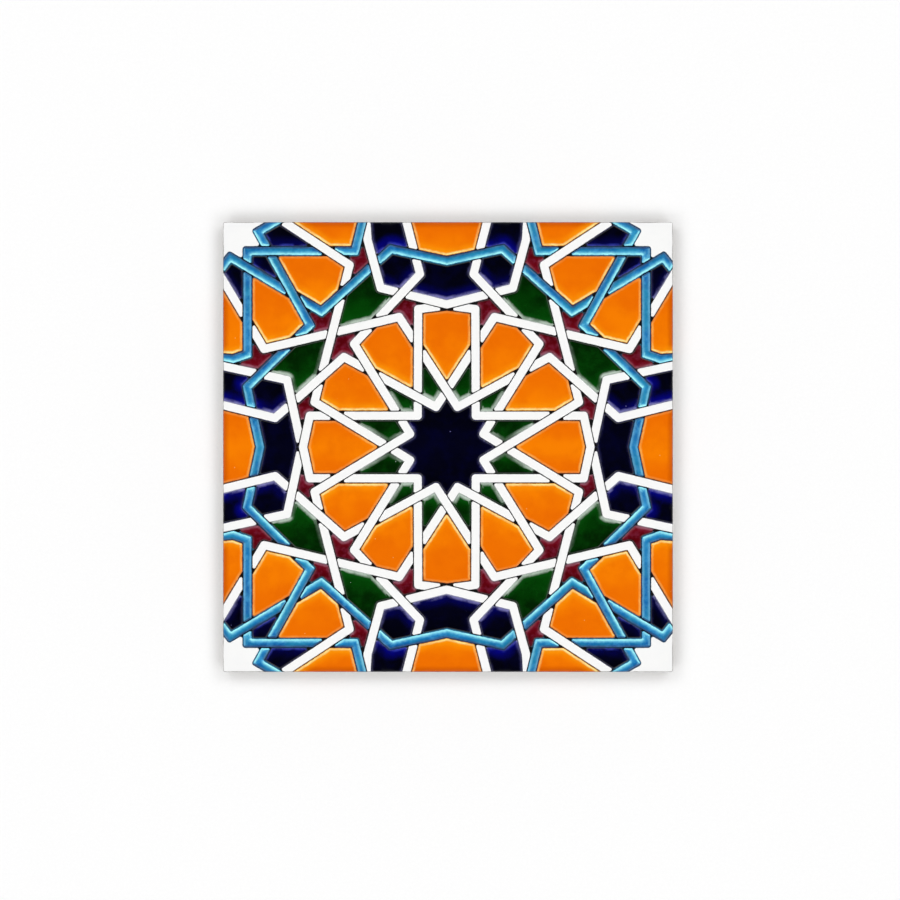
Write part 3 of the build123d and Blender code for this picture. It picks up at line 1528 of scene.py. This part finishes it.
class Shading(Nodes):
    """One material's nodes. Places are read in metres, sizes are given in millimetres."""

    def __init__(self, name: str) -> None:
        """Starts a material with a plain shader.

        Args:
            name: The material's name.
        """
        self.material = bpy.data.materials.new(name)
        super().__init__(self.material, "Principled BSDF")
        self.place = self.node("ShaderNodeTexCoord", {}).outputs["Object"]

    def layer(self, name: str) -> bpy.types.NodeSocket:
        """Reads one of the values kept on the mesh's points."""
        return self.node("ShaderNodeAttribute", {}, attribute_name=name).outputs["Fac"]

    def span(self, value: Value, start: float, end: float, low: float = 0.0,
             high: float = 1.0) -> bpy.types.NodeSocket:
        """Goes smoothly from one number to another while a value goes from start to end.

        Args:
            value: The value that is followed.
            start: Where the change starts.
            end: Where it ends.
            low: The number before it.
            high: The number after it.

        Returns:
            The number.
        """
        if start > end:
            start, end, low, high = end, start, high, low
        inputs = {"Value": value, "From Min": start, "From Max": end, "To Min": low, "To Max": high}
        return self.node("ShaderNodeMapRange", inputs, interpolation_type="SMOOTHSTEP").outputs["Result"]

    def blend(self, share: Value, a: Value, b: Value) -> bpy.types.NodeSocket:
        """Mixes two colours: a where the share is 0, b where it is 1."""
        return self.node("ShaderNodeMix", {0: share, 6: a, 7: b}, data_type="RGBA").outputs[2]

    def laid(self, colour: Value, code: str, *shares: Value) -> bpy.types.NodeSocket:
        """Lays a colour, given by its code, over another, as much as the product of the shares says."""
        return self.blend(self.times(*shares), colour, linear(code))

    def grain(self, size: float, detail: float = 3.0, rough: float = 0.55,
              seed: float = 0.0) -> bpy.types.NodeSocket:
        """Makes cloudy noise.

        Args:
            size: Of the largest clouds, in millimetres.
            detail: How many finer sizes are laid over them.
            rough: How strong the finer sizes are.
            seed: Moves the pattern, so that two of them differ.

        Returns:
            The noise, about 0.5.
        """
        place = self.node("ShaderNodeMapping", {"Vector": self.place, "Location": (seed, seed, seed)})
        inputs = {"Vector": place.outputs[0], "Scale": 1 / (size * MM), "Detail": detail, "Roughness": rough}
        return self.node("ShaderNodeTexNoise", inputs).outputs["Fac"]

    def spots(self, pitch: float, radius: float, share: float = 1.0) -> bpy.types.NodeSocket:
        """Makes small round spots, 1 inside and 0 outside.

        Args:
            pitch: The usual distance between two of their places, in millimetres.
            radius: Of each, as a share of the pitch.
            share: How many of the places have a spot.

        Returns:
            The spots.
        """
        cells = self.node("ShaderNodeTexVoronoi", {"Vector": self.place, "Scale": 1 / (pitch * MM)})
        spots = self.span(cells.outputs["Distance"], radius, radius * 0.6)
        if share == 1.0:
            return spots
        chance = self.node("ShaderNodeSeparateColor", {0: cells.outputs["Color"]}).outputs[0]
        return self.times(spots, self.sum(chance, share, "LESS_THAN"))

    def stand_out(self, height: Value, distance: float) -> None:
        """Roughens the surface, by the height in millimetres that a relief's 1 stands for."""
        bump = self.node("ShaderNodeBump", {"Height": height, "Distance": distance * MM, "Strength": 1.0})
        self.surface({"Normal": bump.outputs[0]})


class GlazeShading(Shading):
    """A glaze's nodes, with the places in a pool that its colours follow."""

    def __init__(self, name: str) -> None:
        """Starts a material and reads the values kept on the mesh's points.

        Args:
            name: The material's name.
        """
        super().__init__(name)
        self.facing, self.edge, self.by_white = self.layer("facing"), self.layer("edge"), self.layer("mist")
        self.waver = self.span(self.grain(1.6, 2.0), 0.2, 0.8, -0.13, 0.13)
        self.depth = self.sum(self.layer("depth"), self.waver)
        self.patchy = self.span(self.grain(7.0, 3.0, seed=1.6), 0.25, 0.65, 0.35, 1.0)


@dataclass(frozen=True)
class GlazeFinish:
    """How one glaze looks once it is fired. Distances are in millimetres from the pool's edge.

    Attributes:
        near: Colour on a pool's side nearest to the level middle line, lighter there as painted light.
        far: Colour on its other side, darker there as painted shade.
        cloud: Colour of the places where the brush left more or less glaze.
        clouding: How much of that colour shows.
        cloud_size: Width of those places.
        tinge: Colour that whole stretches lean to.
        tinged: How much of that shows.
        glow: Colour of a wide band of painted light behind edges that face the level middle line.
        glow_end: Where that has gone.
        glow_strength: How much of it shows.
        lit: Colour of the painted highlight right behind those edges.
        lit_full: Where that is strongest.
        lit_end: Where it has gone.
        lit_strength: How much of it shows.
        highlight_by_turquoise: Colour of that painted highlight beside turquoise straps, where it is another.
        full_facing: How squarely an edge faces that line where the strip is whole.
        bubbles: How much its burst bubbles show.
        patches: How far it comes and goes along the edge.
        beside: Colour of the weaker painted highlight behind edges that run towards that line.
        beside_strength: How much of that shows.
        behind_strength: How much of it shows behind edges that face away from that line.
        painted_shade: Colour of the painted shade behind edges that face away from that line.
        painted_shade_end: Where that has gone.
        painted_shade_strength: How much of it shows.
        outline: Colour right at the dark line.
        outline_end: Where that has gone.
        mist: How far that gives way to the painted highlight behind edges that face the level line.
        spill: Colour of the dark line around a field, where this glaze has run over it.
        spill_highlight: A lighter spill colour, painted highlight, at edges that face the level middle line.
        lit_by_blue: Share of the painted highlight strip that is left beside turquoise straps.
        inner_glow: Share of the glow that is left further in on the tile.
        corner_glow: The same in the tile's corners.
        border: Colour towards the tile's own edge, darker there as painted shade.
        arris: Colour where the face rolls over to the side: worn, thinned glaze, with painted shade along the
            edge.
        gloss: Roughness of the fired surface.
    """

    near: str
    far: str
    cloud: str
    clouding: float
    cloud_size: float
    glow: str
    glow_end: float
    glow_strength: float
    lit: str
    lit_full: float
    lit_end: float
    lit_strength: float
    beside: str
    beside_strength: float
    painted_shade: str
    painted_shade_end: float
    painted_shade_strength: float
    outline: str
    outline_end: float
    border: str
    arris: str
    spill: str
    spill_highlight: str
    behind_strength: float = 0.0
    tinge: str = "FFFFFF"
    tinged: float = 0.0
    highlight_by_turquoise: str = ""
    full_facing: float = 0.75
    bubbles: float = 0.0
    mist: float = 0.0
    patches: float = 0.55
    lit_by_blue: float = 1.0
    inner_glow: float = 1.0
    corner_glow: float = 1.0
    gloss: float = 0.06

    def pool_colour(self, shading: GlazeShading) -> Value:
        """Mixes the colour of a pool away from its rim.

        Args:
            shading: The glaze's nodes.

        Returns:
            The colour.
        """
        # Painted light and shade: each pool runs from its lighter near colour, by the level middle line, to
        # its darker far colour.
        drift = shading.span(shading.grain(14.0, 2.0, seed=0.3), 0.25, 0.75, -0.22, 0.22)
        lie = shading.span(shading.sum(shading.layer("lie"), drift), 0.0, 0.8)
        colour = shading.blend(lie, linear(self.near), linear(self.far))
        clouds = shading.span(shading.grain(self.cloud_size, 5.0, rough=0.6, seed=0.7), 0.42, 0.68)
        colour = shading.laid(colour, self.cloud, clouds, self.clouding)
        leaning = shading.span(shading.grain(13.0, 2.0, seed=2.6), 0.42, 0.6)
        colour = shading.laid(colour, self.tinge, leaning, self.tinged)
        # Painted shade: the glaze darkens towards the tile's own edge and just over onto its side.
        inside, outside = shading.span(shading.edge, 3.2, 0.5), shading.span(shading.edge, -0.9, -0.1)
        return shading.laid(colour, self.border, inside, outside, 0.75)

    def with_glow_and_shade(self, shading: GlazeShading, colour: Value) -> Value:
        """Paints light behind the edges that face the level middle line and shade behind those facing away.

        Args:
            shading: The glaze's nodes.
            colour: The pool's colour.

        Returns:
            The new colour.
        """
        # Painted light: a wide, lighter band behind edges that face the level middle line.
        front = shading.span(shading.sum(shading.layer("front"), shading.waver), self.glow_end, 0.3)
        outer = shading.span(shading.edge, 22.0, 12.0, self.inner_glow)
        corner = shading.span(shading.layer("corner"), 0.0, 1.0, 1.0, self.corner_glow)
        colour = shading.laid(colour, self.glow, front, shading.patchy, outer, corner, self.glow_strength)
        # Painted shade: a darker rim behind edges that face away from the level middle line.
        rim = shading.span(shading.depth, self.painted_shade_end, 0.1)
        away = shading.span(shading.facing, 0.1, -0.55)
        return shading.laid(colour, self.painted_shade, rim, away, shading.patchy, self.painted_shade_strength)

    def with_highlight_strip(self, shading: GlazeShading, colour: Value) -> Value:
        """Lays a painted highlight strip, right behind the pool's edges, over its colour.

        Args:
            shading: The glaze's nodes.
            colour: The pool's colour.

        Returns:
            The new colour.
        """
        # Painted highlight: a pale strip just behind the edges, strongest where they face the level middle
        # line.
        toward = shading.span(shading.facing, 0.0, self.full_facing)
        beside = shading.span(shading.facing, -0.8, -0.1, self.behind_strength, self.beside_strength)
        misty = shading.times(toward, shading.by_white, self.mist)
        rising = shading.sum(shading.span(shading.depth, 0.08, self.lit_full), misty, "MAXIMUM")
        falling = shading.span(shading.depth, self.lit_end, self.lit_full)
        broken = shading.span(shading.grain(5.0, 3.0, seed=1.1), 0.3, 0.62, 1.0 - self.patches, 1.0)
        by_strap = shading.span(shading.by_white, 0.0, 1.0, self.lit_by_blue)
        strength = shading.sum(beside, shading.times(toward, self.lit_strength - self.beside_strength))
        lit = shading.blend(shading.by_white, linear(self.highlight_by_turquoise or self.lit), linear(self.lit))
        highlight_colour = shading.blend(toward, linear(self.beside), lit)
        colour = shading.blend(shading.times(rising, falling, broken, by_strap, strength), colour, highlight_colour)
        outlined = shading.span(shading.depth, self.outline_end, 0.02)
        return shading.laid(colour, self.outline, outlined, shading.sum(1.0, misty, "SUBTRACT"))

    def material(self, name: str) -> bpy.types.Material:
        """Makes the finish's material.

        Args:
            name: The material's name.

        Returns:
            The material.
        """
        shading = GlazeShading(name)
        colour = self.with_glow_and_shade(shading, self.pool_colour(shading))
        colour = self.with_highlight_strip(shading, colour)
        pits = shading.spots(6.5, 0.045, 0.5)
        colour = shading.laid(colour, self.lit, pits, self.bubbles)
        # Worn, thinned glaze where the face rolls over, with painted shade along the tile's edge.
        inside, outside = shading.span(shading.edge, 0.5, 0.12), shading.span(shading.edge, -0.7, -0.1)
        rubbed = shading.span(shading.grain(6.0, 3.0, seed=3.1), 0.3, 0.62, 0.35, 0.9)
        colour = shading.laid(colour, self.arris, inside, outside, rubbed)
        rough = shading.span(shading.grain(3.0, 3.0, seed=2.0), 0.3, 0.7, self.gloss, self.gloss + 0.05)
        shading.surface({"Base Color": colour, "Roughness": rough})
        skin = shading.times(shading.grain(1.3, 2.0, seed=0.2), 0.55)
        shading.stand_out(shading.sum(skin, shading.times(pits, -0.7)), 0.02)
        return shading.material


GLAZE_FINISHES = {
    Glaze.WHITE: GlazeFinish(
        near="FCFCFB", far="FCFCFB", cloud="F7F8F8", clouding=0.4, cloud_size=9.0,
        glow="FDFDFC", glow_end=2.0, glow_strength=0.4,
        lit="FDFDFC", lit_full=0.4, lit_end=1.2, lit_strength=0.5, beside="FCFCFA", beside_strength=0.3,
        painted_shade="F4F6F8", painted_shade_end=0.5, painted_shade_strength=0.4,
        outline="C4C5C8", outline_end=0.12, border="F9F9F9", arris="74706B",
        spill="2C4C5C", spill_highlight="3A5E6C",
    ),
    Glaze.TURQUOISE: GlazeFinish(
        near="1678B8", far="0860A6", cloud="4AA8DC", clouding=0.5, cloud_size=3.6,
        glow="38B2EE", glow_end=2.5, glow_strength=0.8,
        lit="AAFFFF", lit_full=0.35, lit_end=1.75, lit_strength=1.0, beside="7CCAEC", beside_strength=0.5,
        behind_strength=0.05, painted_shade="04245C", painted_shade_end=1.45, painted_shade_strength=1.0,
        outline="1E5878", outline_end=0.14, border="1C70AA", arris="2A4A5E",
        spill="16303C", spill_highlight="1C3C4C", patches=0.4,
        tinge="2490AC", tinged=0.5, full_facing=0.55, bubbles=0.25,
    ),
    Glaze.ORANGE: GlazeFinish(
        near="FB8200", far="F27200", cloud="E86600", clouding=0.35, cloud_size=11.0,
        glow="FF9E0C", glow_end=4.5, glow_strength=0.85,
        lit="FFF09A", lit_full=0.5, lit_end=1.5, lit_strength=1.0, beside="FFC060", beside_strength=0.7,
        behind_strength=0.3, painted_shade="B95600", painted_shade_end=0.7, painted_shade_strength=0.7,
        outline="8A4E14", outline_end=0.22, border="C85400", arris="8E3C0C",
        spill="5E3C1C", spill_highlight="6E4E26", bubbles=0.3,
    ),
    Glaze.COBALT: GlazeFinish(
        near="010116", far="00000A", cloud="02022E", clouding=0.35, cloud_size=8.0,
        glow="040492", glow_end=5.5, glow_strength=0.75,
        lit="7E7CBE", lit_full=0.25, lit_end=1.5, lit_strength=0.8, beside="3A3A74", beside_strength=0.3,
        painted_shade="000004", painted_shade_end=0.9, painted_shade_strength=0.8,
        outline="14142E", outline_end=0.14, border="01010E", arris="23232E",
        spill="34345A", spill_highlight="9494BC", mist=1.0, patches=1.0,
        highlight_by_turquoise="3A48C0", bubbles=0.6, lit_by_blue=0.75, inner_glow=0.4, corner_glow=0.25,
    ),
    Glaze.GREEN: GlazeFinish(
        near="023F04", far="002000", cloud="084C0C", clouding=0.3, cloud_size=5.0,
        glow="0C5614", glow_end=4.0, glow_strength=0.6,
        lit="C4D4C6", lit_full=0.25, lit_end=1.7, lit_strength=0.85, beside="2A522C", beside_strength=0.3,
        painted_shade="000A00", painted_shade_end=1.2, painted_shade_strength=0.8,
        outline="142214", outline_end=0.16, border="002200", arris="1E2A1E",
        spill="1C3420", spill_highlight="C2CEC4", mist=1.0, highlight_by_turquoise="1E6A46", bubbles=0.5, lit_by_blue=0.6,
    ),
    Glaze.MAROON: GlazeFinish(
        near="680412", far="54020A", cloud="7A243C", clouding=0.55, cloud_size=2.2,
        glow="7A0E22", glow_end=3.0, glow_strength=0.5,
        lit="A86C80", lit_full=0.35, lit_end=1.4, lit_strength=0.6, beside="7C3C50", beside_strength=0.22,
        painted_shade="180004", painted_shade_end=1.0, painted_shade_strength=0.85,
        outline="1C060C", outline_end=0.18, border="460008", arris="301014",
        spill="341420", spill_highlight="947280", mist=0.7, patches=0.75, bubbles=0.5, lit_by_blue=0.5,
    ),
}


def mixed(share: float, a: tuple[float, ...], b: tuple[float, ...]) -> tuple[float, ...]:
    """Mixes two colours: a where the share is 0, b where it is 1."""
    return tuple(one + (other - one) * share for one, other in zip(a, b))


@dataclass(frozen=True)
class LineColours:
    """Colours of the dark lines, and widths in millimetres.

    Attributes:
        own: Their own colour.
        teal: What the turquoise straps leave on them.
        teal_highlight: A lighter teal, painted highlight, at edges of a strap that face the level middle
            line.
        teal_share: How much of that shows.
        narrow: Up to this width the glaze beside a line has run over it.
        wide: From this width on none has.
        full_facing: How squarely an edge faces that line where the front's colour is whole.
    """

    own: str = "080706"
    teal: str = "12486C"
    teal_highlight: str = "2E7E9C"
    teal_share: float = 0.7
    narrow: float = 0.42
    wide: float = 0.62
    full_facing: float = 0.75


class DarkLines:
    """The waxy dark lines between the pools, as one shallow skin on the body."""

    def __init__(self, face: FaceLayout, colours: LineColours) -> None:
        """Takes the part of the face that no glaze fills.

        Args:
            face: The whole face.
            colours: The lines' colours.
        """
        self.face, self.colours = face, colours
        self.triangles = [t for t, glaze in zip(face.triangles.tolist(), face.glazes) if glaze is None]
        self.fields: dict[int, Glaze] = {}
        self.straps: dict[int, Glaze] = {}
        self.widths: dict[int, float] = {}
        self.find_neighbours()

    def find_neighbours(self) -> None:
        """Finds, for each point of the lines, the glazes beside it and the line's width there."""
        touching: dict[int, tuple[Glaze, bool]] = {}
        for index, glaze in enumerate(self.face.glazes):
            if glaze:
                for point in self.face.triangles[index].tolist():
                    touching[point] = (glaze, index in self.face.in_fields)
        for triangle in self.triangles:
            corners = self.face.spots[triangle]
            longest = np.linalg.norm(corners - np.roll(corners, 1, axis=0), axis=1).max()
            width = abs(float(cross(corners[1] - corners[0], corners[2] - corners[0]))) / longest
            beside = [touching[point] for point in triangle if point in touching]
            for point in triangle:
                self.widths[point] = max(self.widths.get(point, 0.0), width)
                for glaze, is_field in beside:
                    (self.fields if is_field else self.straps)[point] = glaze

    def tint_at(self, point: int) -> tuple[float, ...]:
        """Finds the colour of a line at one of its points.

        Args:
            point: The point's number on the face.

        Returns:
            The linear colour.
        """
        colours, beside = self.colours, self.fields.get(point)
        if beside is None:
            return linear(colours.own)
        spot, finish = self.face.spots[point], GLAZE_FINISHES[beside]
        _, outward, bound = self.face.beside_wall(spot)
        facing = self.face.facing(outward, float(spot[1])) * (-1 if bound >= 0 else 1) / colours.full_facing
        # Painted highlight: beside a turquoise strap the line turns lighter teal where the strap's edge faces
        # the level middle line.
        if self.straps.get(point) is Glaze.TURQUOISE:
            teal = mixed(eased(-facing), linear(colours.teal), linear(colours.teal_highlight))
            spill = mixed(colours.teal_share, linear(finish.spill), teal)
        else:
            # Painted highlight: the spilled glaze is lighter at edges that face the level middle line.
            spill = mixed(eased(facing), linear(finish.spill), linear(finish.spill_highlight))
        share = eased((self.widths[point] - colours.narrow) / (colours.wide - colours.narrow))
        return mixed(share, spill, linear(colours.own))

    def build(self) -> bpy.types.Object:
        """Makes the piece.

        Returns:
            The piece, with a tint on each of its points.
        """
        model, relief = Modelled(), self.face.relief
        upper, lower = {}, {}
        for point in self.widths:
            x, y = (float(v) for v in self.face.spots[point] - self.face.middle)
            height = relief.body_top - self.face.drop(x, y)
            upper[point], lower[point] = model.add((x, y, height)), model.add((x, y, height - relief.sunk))
            model.tints += 2 * self.tint_at(point)
        sides = {(t[k], t[(k + 1) % 3]) for t in self.triangles for k in range(3)}
        for a, b, c in self.triangles:
            model.faces += [(upper[a], upper[b], upper[c]), (lower[c], lower[b], lower[a])]
        for a, b in sorted(sides):
            if (b, a) not in sides:
                model.faces.append((upper[a], lower[a], lower[b], upper[b]))
        return make_piece("dark_lines", model, smooth_to=48.0)


class DarkLineFinish:
    """The waxy dark line that keeps the glazes apart, which fires to a dry, grainy black."""

    def material(self) -> bpy.types.Material:
        """Makes the finish's material.

        Returns:
            The material.
        """
        shading = Shading("dark_line")
        speck = shading.span(shading.grain(0.5, 4.0), 0.35, 0.7)
        broad = shading.span(shading.grain(6.0, 3.0, seed=0.5), 0.3, 0.7)
        tint = shading.node("ShaderNodeAttribute", {}, attribute_name="tint").outputs["Color"]
        colour = shading.laid(shading.laid(tint, "100E0D", speck, 0.3), "0B0D12", broad, 0.15)
        rough = shading.span(speck, 0.0, 1.0, 0.55, 0.75)
        shading.surface({"Base Color": colour, "Specular IOR Level": 0.08, "Roughness": rough})
        shading.stand_out(shading.grain(0.35, 4.0, seed=0.9), 0.04)
        return shading.material


class BiscuitFinish:
    """The bare fired clay of the sides and back: grey-buff and grainy, with dark specks and dusty patches."""

    def material(self) -> bpy.types.Material:
        """Makes the finish's material.

        Returns:
            The material.
        """
        shading = Shading("biscuit")
        patch = shading.span(shading.grain(38.0, 4.0), 0.3, 0.7)
        colour = shading.blend(patch, linear("938C84"), linear("A29B93"))
        fine = shading.span(shading.grain(1.4, 6.0, rough=0.7, seed=0.4), 0.3, 0.7)
        colour = shading.laid(colour, "7E776E", fine, 0.45)
        dust = shading.span(shading.grain(9.0, 5.0, seed=1.7), 0.52, 0.74)
        colour = shading.laid(colour, "B4AEA5", dust, 0.5)
        colour = shading.laid(colour, "5C4A40", shading.spots(2.6, 0.12), 0.7)
        shading.surface({"Base Color": colour, "Roughness": shading.span(fine, 0.0, 1.0, 0.78, 0.92)})
        grit, holes = shading.grain(0.7, 6.0, rough=0.7, seed=0.1), shading.spots(4.2, 0.09)
        shading.stand_out(shading.sum(grit, holes, "SUBTRACT"), 0.12)
        return shading.material


@dataclass(frozen=True)
class Studio:
    """The plain studio: a white floor, four soft lamps, a pale dome and the camera above.

    Its sizes are in metres, but for the camera's own.

    Attributes:
        floor_side: Across the floor.
        lamps: The lamps, each with its bearing in degrees anticlockwise from +X.
        lamp_power: Of each, in watts.
        lamp_distance: From the tile to each lamp.
        lamp_height: Elevation of the lamps, in degrees.
        lamp_side: Across each lamp.
        far_floor: Distances from the tile over which the lamps' light runs out.
        far_glow: What the floor beyond gives off, so that it looks as white there.
        dome: Brightness of the room around, where 1 is white, at elevations in degrees.
        lens: Of the camera, in millimetres.
        sensor: Across the camera's picture, in millimetres.
        view_width: What the camera sees across, at the height of the face.
        aim: Where the camera points, from the tile's middle.
    """

    floor_side: float = 60.0
    lamps: tuple[tuple[str, float], ...] = (
        ("lamp_far_right", 45.0), ("lamp_far_left", 135.0),
        ("lamp_near_left", 225.0), ("lamp_near_right", 315.0),
    )
    lamp_power: float = 3.6
    lamp_distance: float = 2.0
    lamp_height: float = 52.0
    lamp_side: float = 0.8
    far_floor: Point = (0.9, 3.5)
    far_glow: float = 0.22
    dome: tuple[Point, ...] = (
        (0, 0.95), (6, 0.95), (14, 0.25), (34, 0.25), (43, 1.3), (62, 1.3), (78, 0.02), (90, 0.02),
    )
    lens: float = 100.0
    sensor: float = 36.0
    view_width: float = 0.4
    aim: Point = (0.00089, -0.00133)

    def set_up(self, face_height: float) -> None:
        """Makes everything of the studio.

        Args:
            face_height: Height of the tile's face above the floor, in metres.
        """
        self.lay_floor()
        for name, bearing in self.lamps:
            self.hang(name, math.radians(bearing))
        self.light_dome()
        self.place_camera(face_height)
        bpy.context.scene.view_settings.view_transform = "Standard"

    def lay_floor(self) -> None:
        """Lays the white floor just under the tile."""
        half, low = self.floor_side / 2, -0.00005
        corners = [(-half, -half, low), (half, -half, low), (half, half, low), (-half, half, low)]
        mesh = bpy.data.meshes.new("floor")
        mesh.from_pydata(corners, [], [(0, 1, 2, 3)])
        shading = Shading("white_paper")
        fibre = shading.span(shading.grain(1.2, 4.0), 0.3, 0.7)
        colour = shading.blend(fibre, (0.97, 0.97, 0.97, 1.0), (0.985, 0.985, 0.985, 1.0))
        reach = shading.node("ShaderNodeVectorMath", {0: shading.place}, operation="LENGTH").outputs["Value"]
        shading.surface({
            "Base Color": colour, "Roughness": 0.95, "Specular IOR Level": 0.0,
            "Emission Color": (1.0, 1.0, 1.0, 1.0),
            "Emission Strength": shading.span(reach, *self.far_floor, 0.0, self.far_glow),
        })
        mesh.materials.append(shading.material)
        floor = linked("floor", mesh)

    def hang(self, name: str, bearing: float) -> None:
        """Hangs one soft lamp, pointed at the tile.

        Args:
            name: The lamp's name.
            bearing: Its direction from the tile, in radians.
        """
        light = bpy.data.lights.new(name, "AREA")
        light.shape = "SQUARE"
        light.size, light.energy = self.lamp_side, self.lamp_power
        height = math.radians(self.lamp_height)
        across, up = math.cos(height), math.sin(height)
        place = self.lamp_distance * Vector((math.cos(bearing) * across, math.sin(bearing) * across, up))
        lamp = linked(name, light)
        lamp.location = place
        lamp.rotation_euler = (-place).to_track_quat("-Z", "Y").to_euler()

    def light_dome(self) -> None:
        """Lights the room around: pale at the horizon, brightest half-way up and dark overhead."""
        world = bpy.data.worlds.new("room")
        bpy.context.scene.world = world
        room = Nodes(world, "Background")
        ways = room.node("ShaderNodeTexCoord", {}).outputs["Generated"]
        up = room.node("ShaderNodeSeparateXYZ", {0: ways}).outputs["Z"]
        level: Value = self.dome[0][1]
        for (low, dim), (high, bright) in zip(self.dome[:-1], self.dome[1:]):
            start, end = math.sin(math.radians(low)), math.sin(math.radians(high))
            inputs = {"Value": up, "From Min": start, "From Max": end, "To Min": 0.0, "To Max": bright - dim}
            level = room.sum(level, room.node("ShaderNodeMapRange", inputs).outputs["Result"])
        room.surface({"Color": (1.0, 1.0, 1.0, 1.0), "Strength": level})

    def place_camera(self, face_height: float) -> None:
        """Places the camera straight above, so that the view at the face has the stated width.

        Args:
            face_height: Height of the tile's face above the floor, in metres.
        """
        camera = bpy.data.cameras.new("camera")
        camera.lens, camera.sensor_width = self.lens, self.sensor
        holder = linked("camera", camera)
        holder.location = (*self.aim, face_height + self.view_width * self.lens / self.sensor)
        bpy.context.scene.camera = holder


def finish_piece(piece: bpy.types.Object, material: bpy.types.Material) -> None:
    """Dresses a piece in a material and ties it to the frame.

    Args:
        piece: The piece.
        material: Its material.
    """
    piece.data.materials.append(material)
    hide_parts(NODE)
    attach(piece, ROOT)
    log.info("%s: %d points, %d faces", piece.name, len(piece.data.vertices), len(piece.data.polygons))


def main() -> None:
    """Builds the tile and its studio."""
    logging.basicConfig(level=logging.INFO, format="%(message)s")
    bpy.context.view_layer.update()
    low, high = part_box(NODE)
    size = TileSize(side=(high[0] - low[0]) / MM, thickness=(high[2] - low[2]) / MM)
    relief, sides = Relief(), SideCoat()
    body = BiscuitBody(size, BodySize(), relief, sides)
    finish_piece(body.build(), BiscuitFinish().material())
    face = FaceLayout(size, relief, Network(StrapSection()))
    finish_piece(DarkLines(face, LineColours()).build(), DarkLineFinish().material())
    for glaze in Glaze:
        pools = PooledGlaze(glaze, face, sides).build()
        finish_piece(pools, GLAZE_FINISHES[glaze].material(pools.name))
    Studio().set_up(high[2])


if __name__ == "__main__":
    main()
